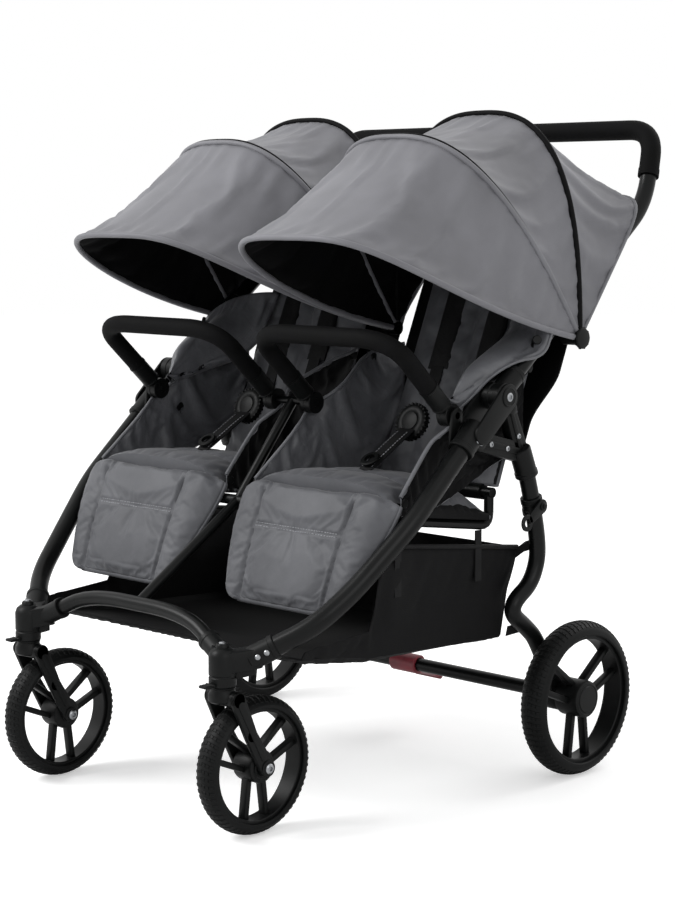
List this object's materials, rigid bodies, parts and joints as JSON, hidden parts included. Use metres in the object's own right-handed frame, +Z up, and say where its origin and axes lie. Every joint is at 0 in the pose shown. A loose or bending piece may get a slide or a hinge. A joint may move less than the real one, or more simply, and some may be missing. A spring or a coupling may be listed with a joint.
{
  "type": "side-by-side double stroller",
  "caption": "Folding side-by-side stroller with joined seats, fan canopies, bumper bars, swivel front wheels, a shopping basket and one handle.",
  "frame": {"origin": "on the floor, in the middle of the stroller's length and width", "axes": "+Z up, front towards -Y, the stroller's own left towards +X"},
  "size_m": [0.76, 0.8876, 1.0254],
  "materials": {
    "black_tube": "satin powder coat",
    "black_nylon": "fine moulded grain",
    "black_foam": "soft foam skin",
    "pin_steel": "turned",
    "pad_cloth": "woven polyester, quilted",
    "canopy_cloth": "woven polyester, slight sheen",
    "black_cloth": "woven polyester",
    "red_nylon": "moulded",
    "tyre_eva": "foamed, fine tread"
  },
  "bodies": {
    "chassis": {"side_tube_left": "black_tube", "side_tube_right": "black_tube", "front_block_left": "black_nylon", "front_block_right": "black_nylon", "front_cross_tube": "black_tube", "hinge_housing_left": "black_nylon", "hinge_housing_right": "black_nylon", "fold_pins": "pin_steel", "seat_frame": "black_tube", "seat_pad_left": "pad_cloth", "seat_pad_right": "pad_cloth", "side_wing_left": "canopy_cloth", "side_wing_right": "canopy_cloth", "centre_wings": "canopy_cloth", "basket": "black_cloth", "buckles": "black_nylon"},
    "handle_frame": {"handle_tube": "black_tube", "handle_grip": "black_foam", "fold_knuckles": "black_nylon", "back_bar": "black_tube", "canopy_post": "black_tube", "canopy_clamps": "black_nylon"},
    "rear_frame": {"rear_leg_left": "black_tube", "rear_leg_right": "black_tube", "leg_joints": "black_nylon", "rear_axle": "black_tube", "brake_housings": "black_nylon", "latch_clamp": "black_nylon"},
    "latch": {"latch_hook": "black_nylon"},
    "pedal": {"brake_pedal": "red_nylon"},
    "rear_wheel_left": {"rear_rim_left": "black_nylon", "rear_tyre_left": "tyre_eva"},
    "caster_left": {"fork_left": "black_nylon"},
    "front_wheel_left": {"front_rim_left": "black_nylon", "front_tyre_left": "tyre_eva"},
    "lock_left": {"swivel_lock_left": "black_nylon"},
    "rear_bow_left": {"canopy_back_left": "canopy_cloth"},
    "mid_bow_left": {"canopy_mid_left": "canopy_cloth"},
    "visor_left": {"canopy_visor_left": "canopy_cloth"},
    "recline_left": {"recline_frame_left": "black_tube"},
    "back_left": {"backrest_left": "pad_cloth", "shoulder_straps_left": "black_cloth"},
    "legrest_left": {"legrest_left": "pad_cloth"},
    "bar_tilt_left": {"bar_sockets_left": "black_nylon"},
    "bar_left": {"bumper_bar_left": "black_foam"},
    "rear_wheel_right": {"rear_rim_right": "black_nylon", "rear_tyre_right": "tyre_eva"},
    "caster_right": {"fork_right": "black_nylon"},
    "front_wheel_right": {"front_rim_right": "black_nylon", "front_tyre_right": "tyre_eva"},
    "lock_right": {"swivel_lock_right": "black_nylon"},
    "rear_bow_right": {"canopy_back_right": "canopy_cloth"},
    "mid_bow_right": {"canopy_mid_right": "canopy_cloth"},
    "visor_right": {"canopy_visor_right": "canopy_cloth"},
    "recline_right": {"recline_frame_right": "black_tube"},
    "back_right": {"backrest_right": "pad_cloth", "shoulder_straps_right": "black_cloth"},
    "legrest_right": {"legrest_right": "pad_cloth"},
    "bar_tilt_right": {"bar_sockets_right": "black_nylon"},
    "bar_right": {"bumper_bar_right": "black_foam"}
  },
  "joints": [
    {"name": "handle_fold", "type": "hinge", "parent": "chassis", "child": "handle_frame", "pos_m": [0, 0.022, 0.607], "axis": [1, 0, 0], "range_deg": [0, 145], "deforming": ["canopy_back_left", "canopy_mid_left", "canopy_visor_left", "side_wing_left", "canopy_back_right", "canopy_mid_right", "canopy_visor_right", "side_wing_right", "centre_wings"]},
    {"name": "rear_fold", "type": "hinge", "parent": "chassis", "child": "rear_frame", "pos_m": [0, 0.003, 0.541], "axis": [1, 0, 0], "range_deg": [-54.2, 0]},
    {"name": "latch_release", "type": "hinge", "parent": "rear_frame", "child": "latch", "pos_m": [0.32701, 0.1433, 0.4302], "axis": [1, 0, 0], "range_deg": [0, 40]},
    {"name": "brake_press", "type": "hinge", "parent": "rear_frame", "child": "pedal", "pos_m": [0, 0.221, 0.1215], "axis": [1, 0, 0], "range_deg": [-18, 0]},
    {"name": "rear_wheel_spin_left", "type": "hinge", "parent": "rear_frame", "child": "rear_wheel_left", "pos_m": [0.3575, 0.221, 0.1215], "axis": [1, 0, 0], "continuous": true},
    {"name": "caster_swivel_left", "type": "hinge", "parent": "chassis", "child": "caster_left", "pos_m": [0.22, -0.402, 0.23], "axis": [0, 0, 1], "continuous": true},
    {"name": "front_wheel_spin_left", "type": "hinge", "parent": "caster_left", "child": "front_wheel_left", "pos_m": [0.22, -0.344, 0.1], "axis": [1, 0, 0], "continuous": true},
    {"name": "swivel_lock_press_left", "type": "hinge", "parent": "chassis", "child": "lock_left", "pos_m": [0.22, -0.4249, 0.227], "axis": [1, 0, 0], "range_deg": [0, 25]},
    {"name": "canopy_tuck_left", "type": "hinge", "parent": "handle_frame", "child": "rear_bow_left", "pos_m": [0.19, 0.18799, 0.68555], "axis": [1, 0, 0], "range_deg": [-43.2, 0]},
    {"name": "canopy_gather_left", "type": "hinge", "parent": "rear_bow_left", "child": "mid_bow_left", "pos_m": [0.19, 0.18799, 0.68555], "axis": [1, 0, 0], "range_deg": [-31.2, 0]},
    {"name": "canopy_visor_flip_left", "type": "hinge", "parent": "mid_bow_left", "child": "visor_left", "pos_m": [0.19, 0.18799, 0.68555], "axis": [-1, 0, 0], "range_deg": [0, 28]},
    {"name": "backrest_recline_left", "type": "hinge", "parent": "chassis", "child": "recline_left", "pos_m": [0.182, 0.084, 0.452], "axis": [-1, 0, 0], "range_deg": [0, 35]},
    {"name": "backrest_fold_left", "type": "hinge", "parent": "recline_left", "child": "back_left", "pos_m": [0.182, 0.084, 0.452], "axis": [1, 0, 0], "range_deg": [0, 72.7]},
    {"name": "legrest_lift_left", "type": "hinge", "parent": "chassis", "child": "legrest_left", "pos_m": [0.182, -0.184, 0.465], "axis": [-1, 0, 0], "range_deg": [0, 50]},
    {"name": "bar_fold_left", "type": "hinge", "parent": "chassis", "child": "bar_tilt_left", "pos_m": [0.182, -0.047, 0.582], "axis": [1, 0, 0], "range_deg": [0, 48.2]},
    {"name": "bar_pull_left", "type": "slide", "parent": "bar_tilt_left", "child": "bar_left", "axis": [0, -0.7314, 0.682], "range_m": [0, 0.06]},
    {"name": "rear_wheel_spin_right", "type": "hinge", "parent": "rear_frame", "child": "rear_wheel_right", "pos_m": [-0.3575, 0.221, 0.1215], "axis": [1, 0, 0], "continuous": true},
    {"name": "caster_swivel_right", "type": "hinge", "parent": "chassis", "child": "caster_right", "pos_m": [-0.22, -0.402, 0.23], "axis": [0, 0, 1], "continuous": true},
    {"name": "front_wheel_spin_right", "type": "hinge", "parent": "caster_right", "child": "front_wheel_right", "pos_m": [-0.22, -0.344, 0.1], "axis": [1, 0, 0], "continuous": true},
    {"name": "swivel_lock_press_right", "type": "hinge", "parent": "chassis", "child": "lock_right", "pos_m": [-0.22, -0.4249, 0.227], "axis": [1, 0, 0], "range_deg": [0, 25]},
    {"name": "canopy_tuck_right", "type": "hinge", "parent": "handle_frame", "child": "rear_bow_right", "pos_m": [-0.19, 0.18799, 0.68555], "axis": [1, 0, 0], "range_deg": [-43.2, 0]},
    {"name": "canopy_gather_right", "type": "hinge", "parent": "rear_bow_right", "child": "mid_bow_right", "pos_m": [-0.19, 0.18799, 0.68555], "axis": [1, 0, 0], "range_deg": [-31.2, 0]},
    {"name": "canopy_visor_flip_right", "type": "hinge", "parent": "mid_bow_right", "child": "visor_right", "pos_m": [-0.19, 0.18799, 0.68555], "axis": [-1, 0, 0], "range_deg": [0, 28]},
    {"name": "backrest_recline_right", "type": "hinge", "parent": "chassis", "child": "recline_right", "pos_m": [-0.182, 0.084, 0.452], "axis": [-1, 0, 0], "range_deg": [0, 35]},
    {"name": "backrest_fold_right", "type": "hinge", "parent": "recline_right", "child": "back_right", "pos_m": [-0.182, 0.084, 0.452], "axis": [1, 0, 0], "range_deg": [0, 72.7]},
    {"name": "legrest_lift_right", "type": "hinge", "parent": "chassis", "child": "legrest_right", "pos_m": [-0.182, -0.184, 0.465], "axis": [-1, 0, 0], "range_deg": [0, 50]},
    {"name": "bar_fold_right", "type": "hinge", "parent": "chassis", "child": "bar_tilt_right", "pos_m": [-0.182, -0.047, 0.582], "axis": [1, 0, 0], "range_deg": [0, 48.2]},
    {"name": "bar_pull_right", "type": "slide", "parent": "bar_tilt_right", "child": "bar_right", "axis": [0, -0.7314, 0.682], "range_m": [0, 0.06]}
  ],
  "couplings": [
    {"joint": "rear_fold", "follows": "handle_fold", "ratio": -0.37241},
    {"joint": "canopy_tuck_left", "follows": "handle_fold", "ratio": -0.29655},
    {"joint": "canopy_gather_left", "follows": "handle_fold", "ratio": -0.21379},
    {"joint": "backrest_fold_left", "follows": "handle_fold", "ratio": 0.5},
    {"joint": "bar_fold_left", "follows": "handle_fold", "ratio": 0.33103},
    {"joint": "canopy_tuck_right", "follows": "handle_fold", "ratio": -0.29655},
    {"joint": "canopy_gather_right", "follows": "handle_fold", "ratio": -0.21379},
    {"joint": "backrest_fold_right", "follows": "handle_fold", "ratio": 0.5},
    {"joint": "bar_fold_right", "follows": "handle_fold", "ratio": 0.33103}
  ]
}
